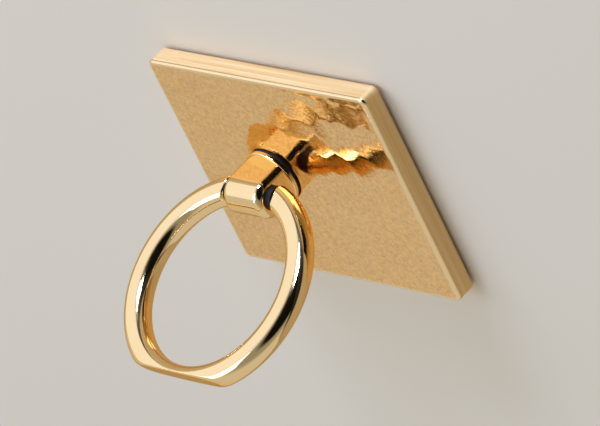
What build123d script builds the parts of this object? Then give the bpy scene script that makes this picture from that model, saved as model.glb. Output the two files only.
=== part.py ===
"""Phone ring holder: a stick-on plate, a swivelling hinge post and a folding finger ring.

Millimetres. The origin is the centre of the adhesive pad's back face. +X runs along the plate's long
side and +Z out of its face, along the swivel axis. The ring is raised and leans towards -Y.
"""
import os
from math import hypot, sqrt

from build123d import *

# Plate and adhesive pad
plate_length = 39.0
plate_width = 32.5
plate_thickness = 3.0
plate_corner_radius = 0.9
plate_edge_round = 0.45
adhesive_thickness = 0.4
adhesive_inset = 0.8
adhesive_corner_radius = 1.0

# Finger ring: a crowned band with a flat foot, open at the hinge
ring_bore_radius = 11.25
ring_thickness = 3.5
ring_width = 3.0
ring_crown = 0.14
ring_corner_round = 1.25
ring_foot_thickness = 1.4
ring_foot_round = 0.35
ring_end_round = 0.35
ring_lean = 27.0

# Hinge: rounded knuckle of the post between the ring's ends, cross pin and friction washers
knuckle_width = 6.8
knuckle_radius = 2.75
knuckle_edge_round = 1.0
pin_radius = 0.65
pin_chamfer = 0.15
pin_cover = 0.4
pin_end_clearance = 0.12
hinge_washer_thickness = 0.85
hinge_washer_radius = 1.6
hinge_side_clearance = 0.05
hinge_swing_clearance = 1.95

# Swivel: flange, flanged bush, stem, disc spring, washer and screw
swivel_offset = -5.2
flange_radius = 4.1
flange_height = 0.5
flange_round = 0.15
bush_flange_radius = 4.0
bush_flange_thickness = 0.25
bush_wall = 0.6
stem_radius = 1.7
spring_thickness = 0.22
spring_rise = 0.28
spring_outer_radius = 3.7
retainer_radius = 4.0
retainer_thickness = 0.35
recess_side_clearance = 0.5
screw_radius = 0.8
screw_length = 3.2
screw_head_radius = 1.6
screw_head_height = 0.45
screw_slot_width = 0.45
screw_slot_depth = 0.2
screw_tip_clearance = 0.3
screw_head_clearance = 0.15

# Fits
pressed_clearance = 0.01
running_clearance = 0.03
swivel_play = 0.03

# Heights of the swivel stack, from the screw head behind the plate to the hinge pin in front
face_z = adhesive_thickness + plate_thickness
screw_head_z = adhesive_thickness + screw_head_clearance
retainer_z = screw_head_z + screw_head_height
stem_end_z = retainer_z + retainer_thickness
spring_top_z = stem_end_z + spring_rise + spring_thickness
recess_top_z = spring_top_z + swivel_play
post_z = face_z + bush_flange_thickness + swivel_play
flange_top_z = post_z + flange_height

# Widths across the hinge
knuckle_side = knuckle_width / 2
ring_end_side = knuckle_side + hinge_washer_thickness + hinge_side_clearance

# The pin runs inside the band, with the same cover towards the bore as at the ends of its blind holes
ring_outer_radius = ring_bore_radius + ring_thickness
ring_mean_radius = ring_bore_radius + ring_thickness / 2
pin_hole_radius = pin_radius + running_clearance
pin_to_centre = ring_bore_radius + pin_cover + pin_hole_radius
pin_hole_end = sqrt(ring_outer_radius**2 - (pin_to_centre + pin_hole_radius + pin_cover) ** 2)
pin_half_length = pin_hole_end - pin_end_clearance

# The ring's ends swing clear of the plate: the reach is that of their rounded outer corners
ring_end_top = sqrt(ring_outer_radius**2 - ring_end_side**2) - pin_to_centre
corner_across = ring_width / 2 - ring_corner_round
corner_along = ring_end_top - ring_corner_round
ring_end_reach = hypot(corner_across, corner_along) + ring_corner_round
pin_z = face_z + ring_end_reach + hinge_swing_clearance

BOTTOM = (Align.CENTER, Align.CENTER, Align.MIN)
ON_SWIVEL_AXIS = Pos(swivel_offset, 0, 0)


def turned(points):
    """Turn a closed outline of (radius, height) points about the swivel axis."""
    outline = make_face(Plane.XZ * Polyline(*points, close=True))
    return ON_SWIVEL_AXIS * revolve(outline, Axis.Z)


def pin_line(radius, half_length):
    """A round bar along the hinge axis, centred on the swivel axis."""
    return Pos(swivel_offset, 0, pin_z) * Rot(0, 90, 0) * Cylinder(radius, 2 * half_length)


def base_plate():
    """Cast plate with rounded face edges, a bore for the swivel and a round recess behind it."""
    blank = extrude(RectangleRounded(plate_length, plate_width, plate_corner_radius), plate_thickness)
    blank = Pos(0, 0, adhesive_thickness) * blank
    blank = fillet(blank.edges().group_by(Axis.Z)[-1], plate_edge_round)
    bore_radius = stem_radius + running_clearance + bush_wall + pressed_clearance
    bore = ON_SWIVEL_AXIS * Cylinder(bore_radius, face_z, align=BOTTOM)
    recess = ON_SWIVEL_AXIS * Cylinder(retainer_radius + recess_side_clearance, recess_top_z, align=BOTTOM)
    return blank - bore - recess


def adhesive_pad():
    """Double-sided pad, set in from the plate's edges."""
    length = plate_length - 2 * adhesive_inset
    width = plate_width - 2 * adhesive_inset
    return extrude(RectangleRounded(length, width, adhesive_corner_radius), adhesive_thickness)


def swivel_bush():
    """Flanged bush: its sleeve lines the plate's bore, its flange carries the post."""
    inner = stem_radius + running_clearance
    sleeve = inner + bush_wall
    top_z = face_z + bush_flange_thickness
    return turned([
        (inner, recess_top_z),
        (sleeve, recess_top_z),
        (sleeve, face_z),
        (bush_flange_radius, face_z),
        (bush_flange_radius, top_z),
        (inner, top_z),
    ])


def post_knuckle():
    """Knuckle of the post: a lug rounded about the pin, with well rounded edges round its two flat sides."""
    height = pin_z - post_z
    profile = Pos(0, pin_z) * Circle(knuckle_radius)
    profile += Pos(0, post_z + height / 2) * Rectangle(2 * knuckle_radius, height)
    knuckle = extrude(Plane.YZ * profile, knuckle_side, both=True)
    sides = knuckle.faces().filter_by(Axis.X).edges()
    rims = sides.filter_by(lambda edge: edge.center().Z > post_z + knuckle_edge_round)
    return ON_SWIVEL_AXIS * fillet(rims, knuckle_edge_round)


def swivel_post():
    """Knuckle, flange and stem in one piece, cross-bored for the pin and tapped from behind."""
    flange = turned([
        (0, stem_end_z),
        (stem_radius, stem_end_z),
        (stem_radius, post_z),
        (flange_radius, post_z),
        (flange_radius, flange_top_z),
        (0, flange_top_z),
    ])
    rims = flange.edges().filter_by(GeomType.CIRCLE).sort_by(SortBy.RADIUS)[-2:]
    flange = fillet(rims.sort_by(Axis.Z)[-1], flange_round)
    tap_depth = screw_length - retainer_thickness + screw_tip_clearance
    tap = Pos(swivel_offset, 0, stem_end_z) * Cylinder(screw_radius + running_clearance, tap_depth, align=BOTTOM)
    return flange + post_knuckle() - tap - pin_line(pin_radius + pressed_clearance, knuckle_side)


def spring_washer():
    """Conical disc spring between the plate's recess and the retaining washer."""
    inner = stem_radius + running_clearance
    return turned([
        (inner, stem_end_z),
        (spring_outer_radius, stem_end_z + spring_rise),
        (spring_outer_radius, spring_top_z),
        (inner, stem_end_z + spring_thickness),
    ])


def retaining_washer():
    """Flat washer clamped to the stem's end by the screw."""
    inner = screw_radius + running_clearance
    return turned([
        (inner, retainer_z),
        (retainer_radius, retainer_z),
        (retainer_radius, stem_end_z),
        (inner, stem_end_z),
    ])


def retaining_screw():
    """Flat-headed screw with a cross recess, driven into the stem from behind."""
    screw = turned([
        (0, screw_head_z),
        (screw_head_radius, screw_head_z),
        (screw_head_radius, retainer_z),
        (screw_radius, retainer_z),
        (screw_radius, retainer_z + screw_length),
        (0, retainer_z + screw_length),
    ])
    slot = Pos(swivel_offset, 0, screw_head_z) * Box(
        screw_head_radius, screw_slot_width, screw_slot_depth, align=BOTTOM
    )
    across = Pos(swivel_offset, 0, screw_head_z) * Box(
        screw_slot_width, screw_head_radius, screw_slot_depth, align=BOTTOM
    )
    return screw - slot - across


def hinge_pin():
    """Straight pin pressed through the knuckle, with chamfered ends in the ring's blind holes."""
    pin = pin_line(pin_radius, pin_half_length)
    return chamfer(pin.edges().filter_by(GeomType.CIRCLE), pin_chamfer)


def hinge_washer(side):
    """Friction washer on the pin, between one side of the knuckle and one end of the ring."""
    ring = Cylinder(hinge_washer_radius, hinge_washer_thickness) - Cylinder(
        pin_radius + running_clearance, hinge_washer_thickness
    )
    middle = side * (knuckle_side + hinge_washer_thickness / 2)
    return Pos(swivel_offset + middle, 0, pin_z) * Rot(0, 90, 0) * ring


def band_section():
    """Rounded square section of the band, each side slightly crowned, at its place on the radius."""
    across = ring_thickness / 2
    along = ring_width / 2
    corner_x = across - ring_crown
    corner_y = along - ring_crown
    sides = [
        ThreePointArc((corner_x, -corner_y), (across, 0), (corner_x, corner_y)),
        ThreePointArc((corner_x, corner_y), (0, along), (-corner_x, corner_y)),
        ThreePointArc((-corner_x, corner_y), (-across, 0), (-corner_x, -corner_y)),
        ThreePointArc((-corner_x, -corner_y), (0, -along), (corner_x, -corner_y)),
    ]
    section = make_face(sides)
    return Pos(ring_mean_radius, 0) * fillet(section.vertices(), ring_corner_round)


def finger_ring():
    """Open band with a flat foot opposite its hinge and a blind pin hole in each end."""
    foot_z = ring_bore_radius + ring_foot_thickness
    reach = 2 * ring_outer_radius
    band = revolve(band_section(), Axis.Y)
    band -= Pos(0, 0, foot_z) * Box(reach, reach, reach, align=BOTTOM)
    band = fillet(band.faces().sort_by(Axis.Z)[-1].edges(), ring_foot_round)
    band -= Pos(0, 0, -reach / 2) * Box(2 * ring_end_side, reach, reach)
    for side in (-1, 1):
        end_face = band.faces().filter_by(Axis.X).sort_by(lambda face: abs(face.center().X - side * ring_end_side))[0]
        band = fillet(end_face.edges(), ring_end_round)
    pin_hole = Rot(0, 90, 0) * Cylinder(pin_hole_radius, 2 * pin_hole_end)
    band -= Pos(0, 0, -pin_to_centre) * pin_hole
    return Pos(swivel_offset, 0, pin_z) * Rot(ring_lean, 0, 0) * Pos(0, 0, pin_to_centre) * band


pieces = {
    "base_plate": base_plate(),
    "adhesive_pad": adhesive_pad(),
    "swivel_bush": swivel_bush(),
    "swivel_post": swivel_post(),
    "spring_washer": spring_washer(),
    "retaining_washer": retaining_washer(),
    "retaining_screw": retaining_screw(),
    "hinge_pin": hinge_pin(),
    "hinge_washer_left": hinge_washer(-1),
    "hinge_washer_right": hinge_washer(1),
    "finger_ring": finger_ring(),
}

os.makedirs("parts", exist_ok=True)
for name, piece in pieces.items():
    export_step(piece, f"parts/{name}.step")
print(f"hinge pin {pin_z:.5f} above the back, ring centre {pin_to_centre:.2f} from the pin")
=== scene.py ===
"""Looks of a phone ring holder: an embossed gold plate on an adhesive pad, a swivelling hinge post and a
folding finger ring with a flat foot. Meshes are worked out in millimetres and put in metres."""

import bpy
import numpy as np
from mathutils import Matrix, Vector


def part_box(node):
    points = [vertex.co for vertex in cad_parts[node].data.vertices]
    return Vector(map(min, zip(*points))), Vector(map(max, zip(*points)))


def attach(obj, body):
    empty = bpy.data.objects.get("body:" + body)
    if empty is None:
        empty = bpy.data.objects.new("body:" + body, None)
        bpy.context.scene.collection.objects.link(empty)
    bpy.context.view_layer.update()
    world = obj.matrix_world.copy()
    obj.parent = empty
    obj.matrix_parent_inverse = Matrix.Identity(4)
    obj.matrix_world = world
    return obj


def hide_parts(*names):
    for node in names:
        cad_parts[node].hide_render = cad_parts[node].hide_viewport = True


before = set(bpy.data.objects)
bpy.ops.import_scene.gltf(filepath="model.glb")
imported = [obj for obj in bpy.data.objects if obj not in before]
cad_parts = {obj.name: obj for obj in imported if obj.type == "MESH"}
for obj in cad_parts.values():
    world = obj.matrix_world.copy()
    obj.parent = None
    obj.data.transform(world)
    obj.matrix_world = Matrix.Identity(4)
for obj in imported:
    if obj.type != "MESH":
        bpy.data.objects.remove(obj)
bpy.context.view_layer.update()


# Adhesive pad
# A die-cut sheet of black acrylic foam tape that holds the plate to what it is stuck on.
# It is set in from the plate's edges, and its cut sides bulge a little under pressure.

def rounded_outline(length, width, radius, spacing, corner_points=13):
    """Points once round a rounded rectangle, with the outward direction at each.

    Four quarter circles of the corner radius are joined by straight sides with points at an even spacing.
    """
    corners = np.array([[1, 1], [-1, 1], [-1, -1], [1, -1]]) * [length / 2 - radius, width / 2 - radius]
    points, outward = [], []
    for quarter, corner in enumerate(corners):
        angle = np.linspace(0, np.pi / 2, corner_points) + quarter * np.pi / 2
        around = np.stack([np.cos(angle), np.sin(angle)], axis=1)
        side = corners[(quarter + 1) % 4] - corner
        count = int(round(np.linalg.norm(side) / spacing))
        share = np.arange(1, count)[:, None] / count
        points += [corner + radius * around, corner + radius * around[-1] + share * side]
        outward += [around, np.repeat(around[-1:], count - 1, axis=0)]
    return np.vstack(points), np.vstack(outward)


def grid_piece(name, points, joined=False, sharp_degrees=40):
    """Object from rows of points in millimetres, each row a loop, all running the same way round.

    Quads join each row to the next. A fan closes the first and the last row to their middle points, or quads
    join them to each other where joined is true.
    """
    rows, columns = points.shape[:2]
    vertices = points.reshape(-1, 3)
    index = np.arange(rows * columns).reshape(rows, columns)
    if joined:
        index = np.vstack([index, index[:1]])
    after = np.roll(index, -1, axis=1)
    faces = np.stack([index[:-1], index[1:], after[1:], after[:-1]], axis=-1).reshape(-1, 4).tolist()
    if not joined:
        first = np.full(columns, rows * columns)
        faces += np.stack([index[0], after[0], first], axis=-1).tolist()
        faces += np.stack([after[-1], index[-1], first + 1], axis=-1).tolist()
        vertices = np.vstack([vertices, points[[0, -1]].mean(axis=1)])
    mesh = bpy.data.meshes.new(name)
    mesh.from_pydata(vertices * 0.001, [], faces)
    mesh.shade_smooth()
    mesh.set_sharp_from_angle(angle=np.radians(sharp_degrees))
    piece = bpy.data.objects.new(name, mesh)
    bpy.context.scene.collection.objects.link(piece)
    return piece


def linear(hex_colour):
    """Linear RGBA of an sRGB hex colour: a power of 2.4 above the short straight start of the sRGB curve."""
    value = np.array([int(hex_colour[i:i + 2], 16) for i in (1, 3, 5)]) / 255
    value = np.where(value <= 0.04045, value / 12.92, ((value + 0.055) / 1.055) ** 2.4)
    return (*value.tolist(), 1.0)


def add_node(tree, kind, sockets=None, **settings):
    """One node of that kind: settings are its properties, sockets its inputs, each a value or a link."""
    node = tree.nodes.new(kind)
    for name, value in settings.items():
        setattr(node, name, value)
    for name, value in (sockets or {}).items():
        if isinstance(value, bpy.types.NodeSocket):
            tree.links.new(value, node.inputs[name])
        else:
            node.inputs[name].default_value = value
    return node


def new_material(name):
    """An empty node material, and its tree."""
    material = bpy.data.materials.new(name)
    material.use_nodes = True
    material.node_tree.nodes.clear()
    return material, material.node_tree


pad_inset = 0.8
pad_corner = 1.0
pad_bulge = 0.12
pad_spacing = 0.5
plate_low, plate_high = (np.array(corner) * 1000 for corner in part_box("base_plate"))
plate_length, plate_width = (plate_high - plate_low)[:2]
plate_back, plate_face = plate_low[2], plate_high[2]


def pad_surface():
    """Loops from the middle of the front to the middle of the back.

    On both flat sides the outline is shrunk towards the middle. Between them it swells outwards by a half
    sine of the height, which is the bulge.
    """
    length = plate_length - 2 * pad_inset
    width = plate_width - 2 * pad_inset
    outline, outward = rounded_outline(length, width, pad_corner, pad_spacing)
    flat = np.linspace(0.1, 0.98, 10)
    height = np.linspace(1, 0, 9)
    share = np.concatenate([flat, np.ones_like(height), flat[::-1]])
    rise = np.concatenate([np.ones_like(flat), height, np.zeros_like(flat)])
    across = share[:, None, None] * outline + (pad_bulge * np.sin(np.pi * rise))[:, None, None] * outward
    up = np.broadcast_to((plate_back * rise)[:, None, None], (*across.shape[:2], 1))
    return np.concatenate([across, up], axis=2)


adhesive_pad = grid_piece("adhesive_pad_foam", pad_surface())

# Acrylic foam tape: closed cells of about a quarter millimetre, matt and nearly black.
foam, tree = new_material("black_acrylic_foam")
place = add_node(tree, "ShaderNodeTexCoord").outputs["Object"]
cells = add_node(tree, "ShaderNodeTexVoronoi", {"Vector": place, "Scale": 1 / 0.00025})
mottle = add_node(tree, "ShaderNodeTexNoise", {"Vector": place, "Scale": 1 / 0.002, "Detail": 3.0})
shade = add_node(tree, "ShaderNodeMix",
                 {"Factor": mottle.outputs["Fac"], "A": linear("#262524"), "B": linear("#3A3836")},
                 data_type="RGBA")
bump = add_node(tree, "ShaderNodeBump",
                {"Height": cells.outputs["Distance"], "Strength": 0.5, "Distance": 0.00005})
skin = add_node(tree, "ShaderNodeBsdfPrincipled",
                {"Base Color": shade.outputs["Result"], "Roughness": 0.85, "Normal": bump.outputs["Normal"]})
add_node(tree, "ShaderNodeOutputMaterial", {"Surface": skin.outputs["BSDF"]})
adhesive_pad.data.materials.append(foam)
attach(adhesive_pad, "plate")
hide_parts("adhesive_pad")


# Base plate
# A die-cast zinc plate, gold plated. Its face is coined with shallow hammered hollows, the edge round it is
# buffed, the sides are satin, and a bore with a wider recess behind it takes the swivel.

swivel_x = -5.2
plate_corner = 0.9
plate_edge = 0.45
back_edge = 0.35
bore_radius = 2.34
recess_radius = 4.5
recess_top = 1.88
plate_spacing = 0.19
face_rows = 100
edge_rows = 7
side_rows = 3
back_rows = 6
recess_rows = 3

hollow_spacing = 3.8
hollow_shift = 0.28
hollow_depth = 0.048
hollow_radius = 56.0
ridge_softness = 0.007
lattice_reach = 7
seat_radius = 4.1
edge_fade = 0.9
seat_fade = 5.0


def hammered_relief(x, y):
    """Height of the coined face, zero or below.

    Every hollow is a shallow bowl: the square of the distance from its middle over twice its radius, less its
    depth. The face is the soft least of all bowls, which rounds the ridges between them. The hollows lie on
    a staggered lattice with seeded shifts, and fade out towards the plate's edges and the post's seat.
    """
    seeded = np.random.default_rng(11)
    steps = np.arange(-lattice_reach, lattice_reach + 1)
    rows, columns = np.meshgrid(steps, steps, indexing="ij")
    middle = np.stack([columns + 0.5 * (rows % 2), rows * np.sqrt(3) / 2], axis=-1).reshape(-1, 2)
    middle = hollow_spacing * (middle + seeded.uniform(-hollow_shift, hollow_shift, middle.shape))
    depth = hollow_depth * seeded.uniform(0.7, 1.3, len(middle))
    apart = (x[..., None] - middle[:, 0]) ** 2 + (y[..., None] - middle[:, 1]) ** 2
    bowls = apart / (2 * hollow_radius) - depth
    height = -ridge_softness * np.log(np.exp(-bowls / ridge_softness).sum(axis=-1))
    from_edge = np.minimum(plate_length / 2 - np.abs(x), plate_width / 2 - np.abs(y)) - plate_edge
    from_seat = np.hypot(x - swivel_x, y) - seat_radius
    fade = np.clip(from_edge / edge_fade, 0, 1) * np.clip(from_seat / seat_fade, 0, 1)
    return np.minimum(height, 0) * fade * fade * (3 - 2 * fade)


def plate_surface():
    """Loops round the swivel axis, once round a closed profile.

    Each column runs along a ray from the axis to a point of the outline: across the face, over the rounded
    edge, down the side, round the back edge, in along the back, and up through the recess and the bore to
    where it began.
    """
    outline, outward = rounded_outline(plate_length, plate_width, plate_corner, plate_spacing)
    axis = np.array([swivel_x, 0.0])
    ray = (outline - axis) / np.linalg.norm(outline - axis, axis=1)[:, None]
    bore = axis + bore_radius * ray
    recess = axis + recess_radius * ray
    brink = outline - plate_edge * outward

    def between(start, end, count):
        return start + np.linspace(0, 1, count)[:, None, None] * (end - start)

    turn = np.linspace(0, np.pi / 2, edge_rows + 1)[1:, None, None]
    face = between(bore, brink, face_rows)
    edge = brink + plate_edge * np.sin(turn) * outward
    side = between(outline, outline, side_rows + 1)[1:]
    under = outline - back_edge * (1 - np.cos(turn)) * outward
    back = between(under[-1], recess, back_rows + 1)[1:]
    top = between(recess, bore, recess_rows)
    loops = np.concatenate([face, edge, side, under, back, top])
    height = np.concatenate([
        np.full(face_rows, plate_face),
        plate_face - plate_edge * (1 - np.cos(turn.ravel())),
        np.linspace(plate_face - plate_edge, plate_back + back_edge, side_rows + 1)[1:],
        plate_back + back_edge * (1 - np.sin(turn.ravel())),
        np.full(back_rows, plate_back),
        np.full(recess_rows, recess_top),
    ])
    height = np.repeat(height[:, None], len(outline), axis=1)
    height[:face_rows] += hammered_relief(face[..., 0], face[..., 1])
    return np.concatenate([loops, height[..., None]], axis=2)


plate_points = plate_surface()
base_plate = grid_piece("base_plate_embossed", plate_points, joined=True)
brink_row = face_rows - 1
for finish, rows in (("coined", slice(0, brink_row)), ("buffed", slice(brink_row, brink_row + edge_rows))):
    share = np.zeros(plate_points.shape[:2], np.float32)
    share[rows] = 1
    base_plate.data.attributes.new(finish, "FLOAT", "POINT").data.foreach_set("value", share.ravel())

# Gold plating on coined zinc: a warm yellow metal. The face has a fine grain that scatters reflections a
# little, its rounded edge is buffed bright, and the sides are satin, with fine lines along them. The sides'
# gold is paler than the face's; that paleness is painted light, which brightens the long wall.
embossed_gold, tree = new_material("embossed_gold_plating")
place = add_node(tree, "ShaderNodeTexCoord").outputs["Object"]
coin = add_node(tree, "ShaderNodeAttribute", attribute_name="coined").outputs["Fac"]
buff = add_node(tree, "ShaderNodeAttribute", attribute_name="buffed").outputs["Fac"]
cloud = add_node(tree, "ShaderNodeTexNoise", {"Vector": place, "Scale": 1 / 0.006, "Detail": 4.0})
grain = add_node(tree, "ShaderNodeTexNoise",
                 {"Vector": place, "Scale": 1 / 0.00045, "Detail": 2.0, "Roughness": 0.6})
tone = add_node(tree, "ShaderNodeMix",
                {"Factor": cloud.outputs["Fac"], "A": linear("#F3C27A"), "B": linear("#FACF8C")},
                data_type="RGBA")
dust = add_node(tree, "ShaderNodeMapRange",
                {"Value": grain.outputs["Fac"], "From Min": 0.3, "From Max": 0.7,
                 "To Min": 0.82, "To Max": 1.1})
speckled = add_node(tree, "ShaderNodeMix",
                    {"Factor": 1.0, "A": tone.outputs["Result"], "B": dust.outputs["Result"]},
                    data_type="RGBA", blend_type="MULTIPLY")
drawn = add_node(tree, "ShaderNodeMapping", {"Vector": place, "Scale": (1 / 0.03, 1 / 0.03, 1 / 0.0004)})
lines = add_node(tree, "ShaderNodeTexNoise", {"Vector": drawn.outputs["Vector"], "Scale": 1.0, "Detail": 3.0})
streak = add_node(tree, "ShaderNodeMapRange",
                  {"Value": lines.outputs["Fac"], "From Min": 0.35, "From Max": 0.65})
# Satin sides: fine lines along them in two golds, both paler than the face's; the paleness is painted light.
satin_lines_and_painted_light = add_node(tree, "ShaderNodeMix",
                 {"Factor": streak.outputs["Result"], "A": linear("#F6D493"), "B": linear("#FFE9BA")},
                 data_type="RGBA")
sides = add_node(tree, "ShaderNodeMix",
                 {"Factor": buff, "A": satin_lines_and_painted_light.outputs["Result"], "B": linear("#FBDDA6")},
                 data_type="RGBA")
both = add_node(tree, "ShaderNodeMix",
                {"Factor": coin, "A": sides.outputs["Result"], "B": speckled.outputs["Result"]},
                data_type="RGBA")
face_rough = add_node(tree, "ShaderNodeMapRange",
                      {"Value": grain.outputs["Fac"], "From Min": 0.3, "From Max": 0.7,
                       "To Min": 0.04, "To Max": 0.1})
satin_rough = add_node(tree, "ShaderNodeMapRange",
                       {"Value": lines.outputs["Fac"], "From Min": 0.35, "From Max": 0.65,
                        "To Min": 0.62, "To Max": 0.78})
side_rough = add_node(tree, "ShaderNodeMix", {"Factor": buff, "A": satin_rough.outputs["Result"], "B": 0.14})
rough = add_node(tree, "ShaderNodeMix",
                 {"Factor": coin, "A": side_rough.outputs["Result"], "B": face_rough.outputs["Result"]})
depth = add_node(tree, "ShaderNodeMath", {0: grain.outputs["Fac"], 1: coin}, operation="MULTIPLY")
bump = add_node(tree, "ShaderNodeBump",
                {"Height": depth.outputs["Value"], "Strength": 0.5, "Distance": 0.00002})
skin = add_node(tree, "ShaderNodeBsdfPrincipled",
                {"Base Color": both.outputs["Result"], "Metallic": 1.0, "Roughness": rough.outputs["Result"],
                 "Normal": bump.outputs["Normal"]})
add_node(tree, "ShaderNodeOutputMaterial", {"Surface": skin.outputs["BSDF"]})
base_plate.data.materials.append(embossed_gold)
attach(base_plate, "plate")
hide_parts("base_plate")


# Swivel bush and hinge washers
# A flanged bush moulded in black acetal lines the plate's bore and carries the post, and two washers of the
# same plastic keep the ring's ends off the post. They rub dry, so they are satin and slightly worn.

black_acetal, tree = new_material("black_acetal")
place = add_node(tree, "ShaderNodeTexCoord").outputs["Object"]
speckle = add_node(tree, "ShaderNodeTexNoise", {"Vector": place, "Scale": 1 / 0.0004, "Detail": 3.0})
# Near black with a warm brown cast; the brown cast is painted shade, standing for the shaded gaps round the
# post's foot and beside the ring's ends.
shade = add_node(tree, "ShaderNodeMix",
                 {"Factor": speckle.outputs["Fac"], "A": linear("#120E0B"), "B": linear("#1F1914")},
                 data_type="RGBA")
rough = add_node(tree, "ShaderNodeMapRange", {"Value": speckle.outputs["Fac"], "To Min": 0.5, "To Max": 0.65})
skin = add_node(tree, "ShaderNodeBsdfPrincipled",
                {"Base Color": shade.outputs["Result"], "Roughness": rough.outputs["Result"], "IOR": 1.48,
                 "Specular IOR Level": 0.3})
add_node(tree, "ShaderNodeOutputMaterial", {"Surface": skin.outputs["BSDF"]})
for node in ("swivel_bush", "hinge_washer_left", "hinge_washer_right"):
    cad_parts[node].data.materials.clear()
    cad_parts[node].data.materials.append(black_acetal)


# Spring washer, retaining washer, retaining screw and hinge pin
# Bright steel hardware out of sight: a disc spring, a flat washer and a screw behind the plate hold the post
# down, and a straight pin through it carries the ring. All are turned or pressed and lightly oiled.

spring_steel, tree = new_material("bright_spring_steel")
place = add_node(tree, "ShaderNodeTexCoord").outputs["Object"]
centred = add_node(tree, "ShaderNodeMapping", {"Vector": place, "Location": (-swivel_x * 0.001, 0, 0)})
marks = add_node(tree, "ShaderNodeTexWave",
                 {"Vector": centred.outputs["Vector"], "Scale": 1 / 0.003, "Distortion": 2.0, "Detail": 2.0},
                 wave_type="RINGS", rings_direction="Z")
tone = add_node(tree, "ShaderNodeMix",
                {"Factor": marks.outputs["Fac"], "A": linear("#B9B8B4"), "B": linear("#CFCEC9")},
                data_type="RGBA")
rough = add_node(tree, "ShaderNodeMapRange", {"Value": marks.outputs["Fac"], "To Min": 0.22, "To Max": 0.36})
skin = add_node(tree, "ShaderNodeBsdfPrincipled",
                {"Base Color": tone.outputs["Result"], "Metallic": 1.0, "Roughness": rough.outputs["Result"]})
add_node(tree, "ShaderNodeOutputMaterial", {"Surface": skin.outputs["BSDF"]})
for node in ("spring_washer", "retaining_washer", "retaining_screw", "hinge_pin"):
    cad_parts[node].data.materials.clear()
    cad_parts[node].data.materials.append(spring_steel)


# Swivel post
# Cast in one piece: a knuckle rounded about the hinge axis, with well rounded edges, on a round flange with a
# stem behind it. It is polished all over and gold plated, and tapped from behind for the screw.

pin_z = 7.18538
knuckle_half = np.array([3.4, 2.75])
knuckle_edge = 1.0
flange_radius = 4.1
flange_low, flange_top = 3.68, 4.18
flange_round = 0.15
stem_radius = 1.7
stem_end = 1.35
tap_radius = 0.83
tap_top = 4.5
post_columns = 420
crown_rows = 120
crown_start = 0.75
shank_rows = 5
rim_rows = 5


def post_surface():
    """Loops round the swivel axis from the crown down to the stem's end and up its tapped hole.

    Above the pin each point lies on a ray from the middle of the hinge axis, which ends at the flat side, at
    the round about the axis or, between those, at the edge's round. The loop at the pin's height goes
    straight down to the flange, a disc with a rounded rim, and in to the stem. The bore that the pin fills is
    left out.
    """
    around = np.linspace(0, 2 * np.pi, post_columns + 1)[:-1]
    lean = np.radians(np.linspace(crown_start, 90, crown_rows))[:, None]
    x = np.sin(lean) * np.cos(around)
    y = np.sin(lean) * np.sin(around)
    z = np.cos(lean) + 0 * around
    out = np.hypot(y, z)
    inner = knuckle_half - knuckle_edge
    to_side = knuckle_half[0] / np.maximum(np.abs(x), 1e-9)
    to_round = knuckle_half[1] / out
    along = np.abs(x) * inner[0] + out * inner[1]
    to_edge = along + np.sqrt(np.maximum(along ** 2 - inner @ inner + knuckle_edge ** 2, 0))
    way = np.where(np.abs(x) * to_round <= inner[0], to_round, to_edge)
    way = np.where(out * to_side <= inner[1], to_side, way)
    crown = way[..., None] * np.stack([x, y, z], axis=-1) + [0, 0, pin_z]

    def level(radius, height):
        radius = np.broadcast_to(radius, around.shape)
        heights = np.full(around.shape, height)
        return np.stack([radius * np.cos(around), radius * np.sin(around), heights], axis=-1)

    loops = [level(way[-1], height) for height in np.linspace(pin_z, flange_top, shank_rows + 1)[1:]]
    for turn in np.linspace(0, np.pi / 2, rim_rows):
        radius = flange_radius - flange_round * (1 - np.sin(turn))
        loops.append(level(radius, flange_top - flange_round * (1 - np.cos(turn))))
    loops += [
        level(flange_radius, flange_low),
        level(stem_radius, flange_low),
        level(stem_radius, stem_end),
        level(tap_radius, stem_end),
        level(tap_radius, tap_top),
    ]
    return np.concatenate([crown, loops]) + [swivel_x, 0, 0]


swivel_post = grid_piece("swivel_post_polished", post_surface())

# Polished gold plating: nearly a mirror, with faint rubbing marks that blur it here and there.
polished_gold, tree = new_material("polished_gold_plating")
place = add_node(tree, "ShaderNodeTexCoord").outputs["Object"]
cloud = add_node(tree, "ShaderNodeTexNoise", {"Vector": place, "Scale": 1 / 0.005, "Detail": 5.0})
rubs = add_node(tree, "ShaderNodeTexNoise",
                {"Vector": place, "Scale": 1 / 0.0009, "Detail": 6.0, "Roughness": 0.7})
tone = add_node(tree, "ShaderNodeMix",
                {"Factor": cloud.outputs["Fac"], "A": linear("#F8D596"), "B": linear("#FDDFA8")},
                data_type="RGBA")
rough = add_node(tree, "ShaderNodeMapRange",
                 {"Value": rubs.outputs["Fac"], "From Min": 0.35, "From Max": 0.75,
                  "To Min": 0.05, "To Max": 0.13})
skin = add_node(tree, "ShaderNodeBsdfPrincipled",
                {"Base Color": tone.outputs["Result"], "Metallic": 1.0, "Roughness": rough.outputs["Result"],
                 "Specular Tint": linear("#FFE2AE")})
add_node(tree, "ShaderNodeOutputMaterial", {"Surface": skin.outputs["BSDF"]})
swivel_post.data.materials.append(polished_gold)
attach(swivel_post, "swivel")
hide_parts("swivel_post")


# Finger ring
# A cast band of rounded square section, polished and gold plated like the post. It is open at the hinge,
# where a blind hole in each end takes the pin, and ground flat opposite as a foot.

pin_to_centre = 12.33
pin_hole_radius = 0.68
pin_hole_end = 6.14
ring_lean = np.radians(27.0)
ring_bore = 11.25
band_half = np.array([1.75, 1.5])
band_crown = 0.14
band_corner = 1.25
foot_distance = 12.59
ring_end = 4.3
ring_end_edge = 0.35
crown_points = 13
corner_points = 14
ring_rows = 301
end_rows = 6
blend_power = 8
foot_cosine = 0.7
no_foot = 99.0


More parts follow.
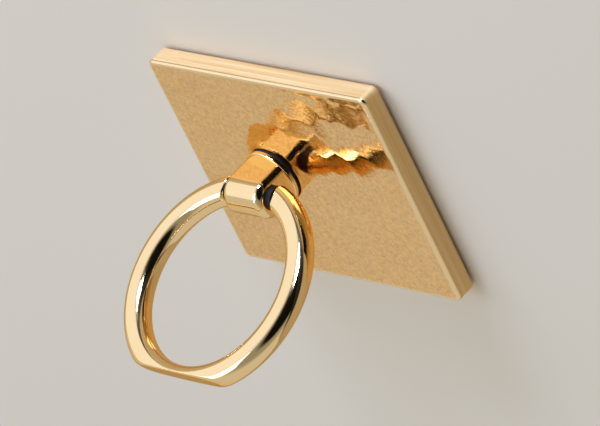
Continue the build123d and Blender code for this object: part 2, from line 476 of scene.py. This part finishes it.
def band_section():
    """Angle and length of rays from the pin's line to the rounded outline of the band's section.

    The outline is followed by the direction of its normal. Each side is a long crowning arc. Each corner is
    an arc of the corner radius about the point where its two sides' arcs, set in by that radius, cross.
    """
    arc = ((band_half[::-1] - band_crown) ** 2 + band_crown ** 2) / (2 * band_crown)
    centre_x, centre_y = band_half - arc
    reach_x, reach_y = arc - band_corner
    slope = centre_x / centre_y
    start = (reach_x ** 2 - reach_y ** 2 - centre_x ** 2 + centre_y ** 2) / (2 * centre_y)
    half = (centre_x - slope * start) / (1 + slope ** 2)
    inner_x = half + np.sqrt(half ** 2 - (centre_x ** 2 + start ** 2 - reach_x ** 2) / (1 + slope ** 2))
    inner_y = start + slope * inner_x
    swing_x = np.arctan2(inner_y, inner_x - centre_x)
    swing_y = np.pi / 2 - np.arctan2(inner_x, inner_y - centre_y)
    right = np.linspace(-swing_x, swing_x, crown_points + 1)[:-1]
    first = np.linspace(swing_x, swing_y, corner_points + 1)[:-1]
    top = np.linspace(swing_y, np.pi - swing_y, crown_points + 1)[:-1]
    second = np.linspace(np.pi - swing_y, np.pi - swing_x, corner_points + 1)[:-1]
    x = np.concatenate([centre_x + arc[0] * np.cos(right), inner_x + band_corner * np.cos(first),
                        arc[1] * np.cos(top), -inner_x + band_corner * np.cos(second)])
    y = np.concatenate([arc[0] * np.sin(right), inner_y + band_corner * np.sin(first),
                        centre_y + arc[1] * np.sin(top), inner_y + band_corner * np.sin(second)])
    x = np.concatenate([x, -x]) + ring_bore + band_half[0] - pin_to_centre
    y = np.concatenate([y, -y])
    return np.arctan2(y, x), np.hypot(x, y)


def ring_surface():
    """Loops round the band's section, from the bottom of one pin hole round the ring to that of the other.

    A loop's points lie on rays from the pin's line. Near the foot a ray ends at the soft least, by eighth
    powers, of its way to the section and its way to the foot's plane. Near the hinge each circle of the band
    is followed until it meets the flat end, whose edge is a quarter round, and the loop closes in to the pin
    hole.
    """
    angle, length = band_section()
    shares = np.linspace(-1, 1, ring_rows)[:, None]
    outer = np.pi - np.arcsin((ring_end + ring_end_edge) / (pin_to_centre + length * np.cos(angle)))
    middle = np.pi - np.arcsin((ring_end + ring_end_edge) / pin_to_centre)
    turn = shares * middle + np.sign(shares) * np.abs(shares) ** blend_power * (outer - middle)
    to_foot = foot_distance / np.maximum(np.cos(turn), foot_cosine) - pin_to_centre
    to_foot = np.where(np.cos(turn) > foot_cosine, to_foot, no_foot)
    inverse = length ** -float(blend_power) + (np.maximum(np.cos(angle), 0) / to_foot) ** blend_power
    way = inverse ** (-1 / blend_power)
    radius = pin_to_centre + way * np.cos(angle)
    band = np.stack([radius * np.sin(turn), way * np.sin(angle), radius * np.cos(turn)], axis=-1)

    quarter = np.linspace(0, np.pi / 2, end_rows + 1)[1:, None]
    shorter = length - ring_end_edge * (1 - np.cos(quarter))
    radius = pin_to_centre + shorter * np.cos(angle)
    out = np.broadcast_to(ring_end + ring_end_edge * (1 - np.sin(quarter)), radius.shape)
    edge = np.stack([out, shorter * np.sin(angle), -np.sqrt(radius ** 2 - out ** 2)], axis=-1)
    hole = np.stack([np.broadcast_to(ring_end, angle.shape), pin_hole_radius * np.sin(angle),
                     -pin_to_centre - pin_hole_radius * np.cos(angle)], axis=-1)
    bottom = hole + [pin_hole_end - ring_end, 0, 0]
    end = np.concatenate([edge, hole[None], bottom[None]])
    local = np.concatenate([end[::-1] * [-1, 1, 1], band, end])
    across = np.array([0, np.cos(ring_lean), np.sin(ring_lean)])
    outwards = np.array([0, -np.sin(ring_lean), np.cos(ring_lean)])
    centre = np.array([swivel_x, 0, pin_z]) + pin_to_centre * outwards
    return centre + local[..., :1] * [1, 0, 0] + local[..., 1:2] * across + local[..., 2:] * outwards


finger_ring = grid_piece("finger_ring_polished", ring_surface())
finger_ring.data.materials.append(polished_gold)
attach(finger_ring, "ring")
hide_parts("finger_ring")


# Floor
# A plain pale sheet, matt, level with the adhesive face. Metal sees a painted reflection of it: a warmer tan,
# and a painted dark zone on the camera's side, so that the room's dark side carries on below the horizon.

floor_mesh = bpy.data.meshes.new("floor")
floor_mesh.from_pydata([(-4, -4, 0), (4, -4, 0), (4, 4, 0), (-4, 4, 0)], [], [(0, 1, 2, 3)])
floor = bpy.data.objects.new("floor", floor_mesh)
bpy.context.scene.collection.objects.link(floor)
paper, tree = new_material("pale_floor_with_painted_reflection")
towards_camera = (0.7, 0.71, 0.0)
place = add_node(tree, "ShaderNodeTexCoord").outputs["Object"]
ahead = add_node(tree, "ShaderNodeVectorMath", {0: place, 1: towards_camera}, operation="DOT_PRODUCT")
mirrored = add_node(tree, "ShaderNodeLightPath").outputs["Is Glossy Ray"]
# Painted reflection: mask of the dark zone, from about 3 to 4.5 cm out towards the camera.
painted_dark_zone = add_node(tree, "ShaderNodeMapRange",
                  {"Value": ahead.outputs["Value"], "From Min": 0.028, "From Max": 0.044},
                  interpolation_type="SMOOTHSTEP")
# Painted reflection colours: a warm tan near the part, and near black in the dark zone.
around = add_node(tree, "ShaderNodeMix",
                  {"Factor": painted_dark_zone.outputs["Result"], "A": linear("#D1BD99"), "B": linear("#1C1B1A")},
                  data_type="RGBA")
# Camera rays see the plain pale sheet; glossy rays see the painted reflection.
shade = add_node(tree, "ShaderNodeMix",
                 {"Factor": mirrored, "A": linear("#EADFC5"), "B": around.outputs["Result"]},
                 data_type="RGBA")
skin = add_node(tree, "ShaderNodeBsdfPrincipled",
                {"Base Color": shade.outputs["Result"], "Roughness": 0.9, "Specular IOR Level": 0.2})
add_node(tree, "ShaderNodeOutputMaterial", {"Surface": skin.outputs["BSDF"]})
floor_mesh.materials.append(paper)


# Studio light
# A pale room with a dark side towards the camera, which draws the black strips on the polished gold, and
# three soft boxes: a large one to the side, a low one that lights the plate's long wall, and one above.

def look_at(thing, place, aim, up):
    """Put a lamp or the camera at a place, facing its aim.

    Its back points from the aim to the place, its right is square to up and to its back, and its own upward
    direction is square to both.
    """
    back = np.array(place, float) - aim
    back /= np.linalg.norm(back)
    right = np.cross(up, back)
    right /= np.linalg.norm(right)
    matrix = np.eye(4)
    matrix[:3] = np.stack([right, np.cross(back, right), back, place], axis=1)
    thing.matrix_world = Matrix(matrix.tolist())


world = bpy.data.worlds.new("studio")
world.use_nodes = True
tree = world.node_tree
tree.nodes.clear()
dark_side = (0.712, 0.689, 0.136)
along_ring = (0.0, -0.454, 0.891)
dark_shift = 0.192
dark_narrowing = -0.15
direction = add_node(tree, "ShaderNodeTexCoord").outputs["Generated"]
facing = add_node(tree, "ShaderNodeVectorMath", {0: direction, 1: dark_side}, operation="DOT_PRODUCT")
facing = facing.outputs["Value"]
height = add_node(tree, "ShaderNodeVectorMath", {0: direction, 1: along_ring}, operation="DOT_PRODUCT")
height = add_node(tree, "ShaderNodeMath", {0: height.outputs["Value"], 1: dark_shift}, operation="ADD")
height = height.outputs["Value"]
square = add_node(tree, "ShaderNodeMath", {0: height, 1: height}, operation="MULTIPLY")
inside = add_node(tree, "ShaderNodeMath",
                  {0: square.outputs["Value"], 1: dark_narrowing, 2: facing}, operation="MULTIPLY_ADD")
level = add_node(tree, "ShaderNodeMapRange",
                 {"Value": inside.outputs["Value"], "From Min": 0.58, "From Max": 0.74,
                  "To Min": 0.66, "To Max": 0.012}, interpolation_type="SMOOTHSTEP")
dim = add_node(tree, "ShaderNodeMapRange",
               {"Value": facing, "From Min": 0.1, "From Max": 0.55, "To Min": 1.0, "To Max": 0.5},
               interpolation_type="SMOOTHSTEP")
level = add_node(tree, "ShaderNodeMath",
                 {0: level.outputs["Result"], 1: dim.outputs["Result"]}, operation="MULTIPLY")
room = add_node(tree, "ShaderNodeBackground",
                {"Color": linear("#FCFBFC"), "Strength": level.outputs["Value"]})
pale = add_node(tree, "ShaderNodeBackground", {"Color": linear("#E4E2DD"), "Strength": 1.0})
ray = add_node(tree, "ShaderNodeLightPath").outputs["Is Camera Ray"]
seen = add_node(tree, "ShaderNodeMixShader",
                {0: ray, 1: room.outputs["Background"], 2: pale.outputs["Background"]})
add_node(tree, "ShaderNodeOutputWorld", {"Surface": seen.outputs["Shader"]})
bpy.context.scene.world = world

lamp_aim = (0, 0, 0.01)
for name, size, place, energy in (("soft_box", (0.9, 0.74), (-0.58, 0.56, 0.38), 1.4),
                                  ("low_box", (0.4, 0.14), (0.0, 0.8, 0.08), 7.2),
                                  ("top_box", (0.5, 0.5), (-0.28, 0.36, 0.66), 2.6)):
    light = bpy.data.lights.new(name, "AREA")
    light.shape = "RECTANGLE"
    light.size, light.size_y = size
    light.energy = energy
    light.color = linear("#C3D3FF")[:3]
    lamp = bpy.data.objects.new(name, light)
    bpy.context.scene.collection.objects.link(lamp)
    look_at(lamp, place, lamp_aim, (0, 0, 1))


# Camera
# A long lens above one corner of the plate, rolled so that the plate stands on edge in the picture, with its
# long wall at the top.

camera_place = (0.58537, 0.42748, 0.39425)
camera_aim = (-0.0014, -0.0042, 0.005)
camera_up = (-0.1406, 0.7615, -0.6327)
lens = bpy.data.cameras.new("camera")
lens.sensor_width = 36.0
lens.lens = 396.0
lens.clip_start, lens.clip_end = 0.01, 20.0
camera = bpy.data.objects.new("camera", lens)
bpy.context.scene.collection.objects.link(camera)
look_at(camera, camera_place, camera_aim, camera_up)
bpy.context.scene.camera = camera
bpy.context.scene.view_settings.view_transform = "Standard"
